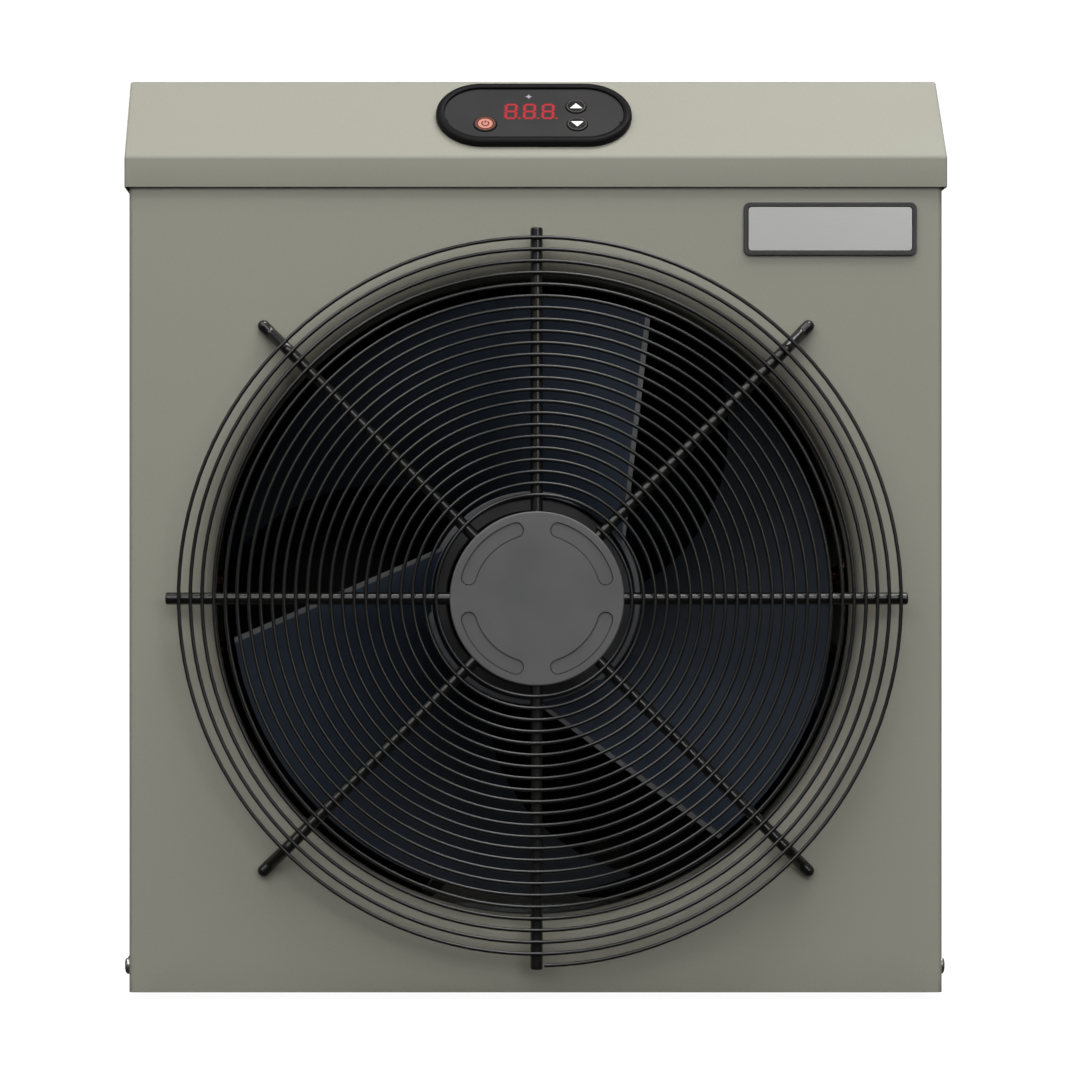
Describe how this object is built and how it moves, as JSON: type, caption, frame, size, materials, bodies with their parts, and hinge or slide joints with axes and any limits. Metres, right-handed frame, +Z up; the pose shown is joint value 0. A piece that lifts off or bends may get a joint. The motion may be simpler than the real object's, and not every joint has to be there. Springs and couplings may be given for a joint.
{
  "type": "swimming pool heat pump",
  "caption": "Compact pool heat pump: sheet-steel cabinet, sloped lid with controls, front axial fan behind a spiral wire guard, coil and hose unions at the rear.",
  "frame": {"origin": "centre of the bounding box's bottom face, on the ground under the feet", "axes": "+Z up, the fan and the controls face -Y, +X to the right of a person who faces the front"},
  "size_m": [0.406, 0.381, 0.457],
  "materials": {
    "paint": "beige-grey powder coat, fine texture",
    "lid_paint": "beige-grey powder coat, fine texture",
    "guard_wire": "black powder coat on steel wire",
    "disc_plate": "mid-grey coated steel plate",
    "blade": "glossy blue-black coating on steel blades",
    "motor": "black coated motor parts",
    "black_plastic": "black moulded plastic",
    "gloss_plastic": "polished black bezel",
    "button": "dark soft-touch cap",
    "display": "dark red display window",
    "rubber": "black rubber",
    "galvanised": "galvanised steel sheet",
    "steel": "plain steel",
    "zinc": "bright zinc-plated screw",
    "copper": "copper tube",
    "fins": "blue-coated aluminium fins",
    "board": "green circuit board with its parts",
    "plaque": "satin plaque",
    "water_plastic": "dark grey water fittings",
    "steel_vessel": "black painted pressure vessel"
  },
  "bodies": {
    "cabinet": {"base_pan": "galvanised", "foot_front_left": "rubber", "foot_front_right": "rubber", "foot_rear_left": "rubber", "foot_rear_right": "rubber", "front_panel": "paint", "side_panel_left": "paint", "side_panel_right": "paint", "rear_panel": "paint", "rear_guard": "guard_wire", "top_cover": "lid_paint", "badge_plate": "plaque", "side_screw_left": "zinc", "side_screw_right": "zinc", "guard_spiral": "guard_wire", "guard_spokes": "guard_wire", "guard_centre_disc": "disc_plate", "fan_shroud": "black_plastic", "motor_bracket": "motor", "motor_stator": "motor", "motor_bearing_front": "steel", "motor_bearing_rear": "steel", "motor_lead": "black_plastic", "evaporator_fins": "fins", "evaporator_plate_left": "galvanised", "evaporator_plate_right": "galvanised", "evaporator_tube": "copper", "compressor": "steel_vessel", "accumulator": "steel_vessel", "compressor_grommet_1": "rubber", "compressor_grommet_2": "rubber", "compressor_grommet_3": "rubber", "compressor_terminal_cover": "black_plastic", "heat_exchanger": "water_plastic", "filter_drier": "copper", "discharge_pipe": "copper", "suction_pipe": "copper", "liquid_pipe": "copper", "capillary_tube": "copper", "electrical_box": "galvanised", "electrical_box_cover": "galvanised", "main_board": "board", "run_capacitor": "plaque", "terminal_block": "black_plastic", "control_bezel": "gloss_plastic", "control_board": "board", "display_window": "display", "inlet_port": "water_plastic", "outlet_port": "water_plastic", "cable_gland": "black_plastic"},
    "fan": {"fan_impeller": "blade", "motor_rotor": "motor", "motor_shaft": "steel"},
    "power_button": {"power_button": "button"},
    "up_button": {"up_button": "button"},
    "down_button": {"down_button": "button"},
    "inlet_tail": {"inlet_tail": "water_plastic"},
    "inlet_nut": {"inlet_nut": "black_plastic"},
    "outlet_tail": {"outlet_tail": "water_plastic"},
    "outlet_nut": {"outlet_nut": "black_plastic"}
  },
  "joints": [
    {"name": "fan_spin", "type": "hinge", "parent": "cabinet", "child": "fan", "pos_m": [0, -0.12, 0.1978], "axis": [0, -1, 0], "continuous": true},
    {"name": "power_press", "type": "slide", "parent": "cabinet", "child": "power_button", "axis": [0, 0.7241, -0.6897], "range_m": [0, 0.001], "stiffness_N_per_m": 500},
    {"name": "up_press", "type": "slide", "parent": "cabinet", "child": "up_button", "axis": [0, 0.7241, -0.6897], "range_m": [0, 0.001], "stiffness_N_per_m": 500},
    {"name": "down_press", "type": "slide", "parent": "cabinet", "child": "down_button", "axis": [0, 0.7241, -0.6897], "range_m": [0, 0.001], "stiffness_N_per_m": 500},
    {"name": "inlet_back_off", "type": "slide", "parent": "cabinet", "child": "inlet_tail", "axis": [0, 1, 0], "range_m": [0, 0.009]},
    {"name": "inlet_nut_turn", "type": "hinge", "parent": "inlet_tail", "child": "inlet_nut", "pos_m": [-0.145, 0.14, 0.044], "axis": [0, 1, 0], "range_deg": [0, 1080]},
    {"name": "outlet_back_off", "type": "slide", "parent": "cabinet", "child": "outlet_tail", "axis": [0, 1, 0], "range_m": [0, 0.009]},
    {"name": "outlet_nut_turn", "type": "hinge", "parent": "outlet_tail", "child": "outlet_nut", "pos_m": [-0.06, 0.14, 0.044], "axis": [0, 1, 0], "range_deg": [0, 1080]}
  ],
  "couplings": [
    {"joint": "inlet_nut_turn", "follows": "inlet_back_off", "rad_per_m": 2094.4},
    {"joint": "outlet_nut_turn", "follows": "outlet_back_off", "rad_per_m": 2094.4}
  ]
}
